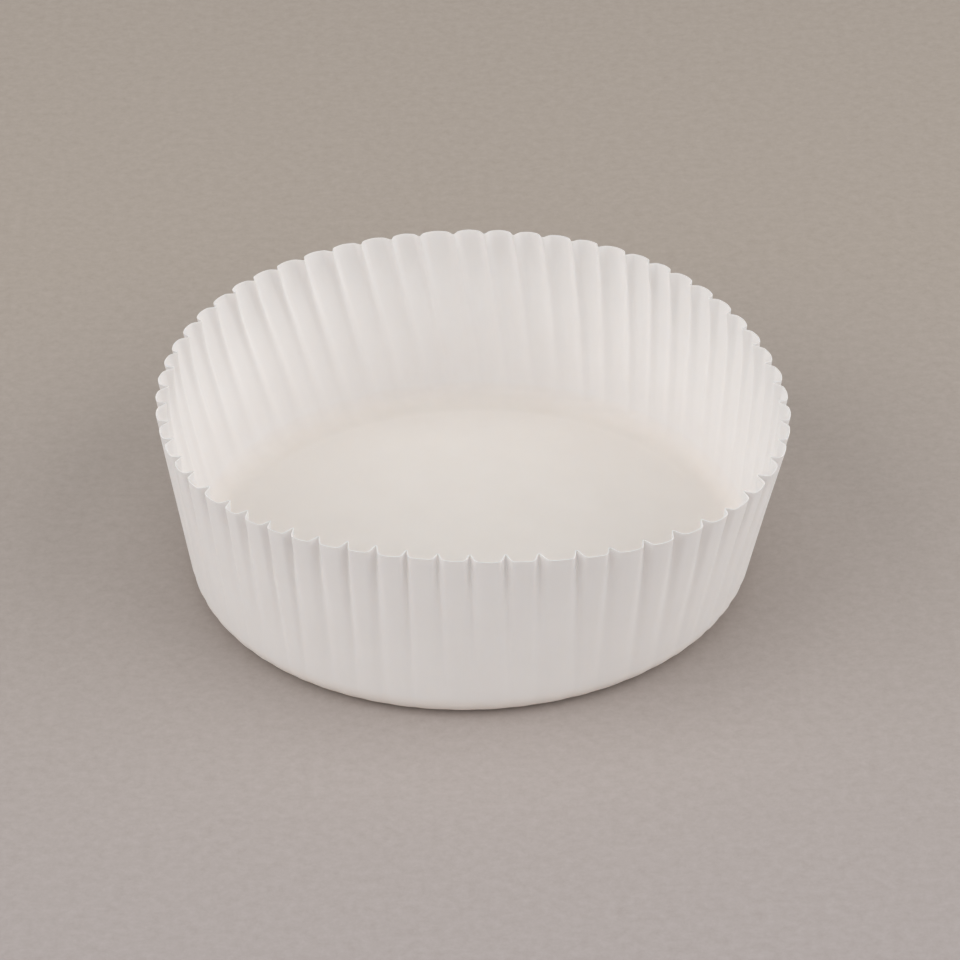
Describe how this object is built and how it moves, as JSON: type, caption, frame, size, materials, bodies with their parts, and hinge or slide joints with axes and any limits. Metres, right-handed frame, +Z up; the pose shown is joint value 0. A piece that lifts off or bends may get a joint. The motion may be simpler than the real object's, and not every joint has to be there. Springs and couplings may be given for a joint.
{
  "type": "paper baking cup",
  "caption": "Round white paper baking cup with a flat base and a fluted wall that leans outwards to an open rim.",
  "frame": {"origin": "centre of the cup's underside, on the surface it stands on", "axes": "+Z up along the cup's axis, from the base to the open rim; +X and +Y are across the cup, and each runs along a fold"},
  "size_m": [0.1, 0.1, 0.0318],
  "materials": {
    "paper": "matte"
  },
  "bodies": {
    "root": {"fluted_cup": "paper"}
  },
  "joints": []
}
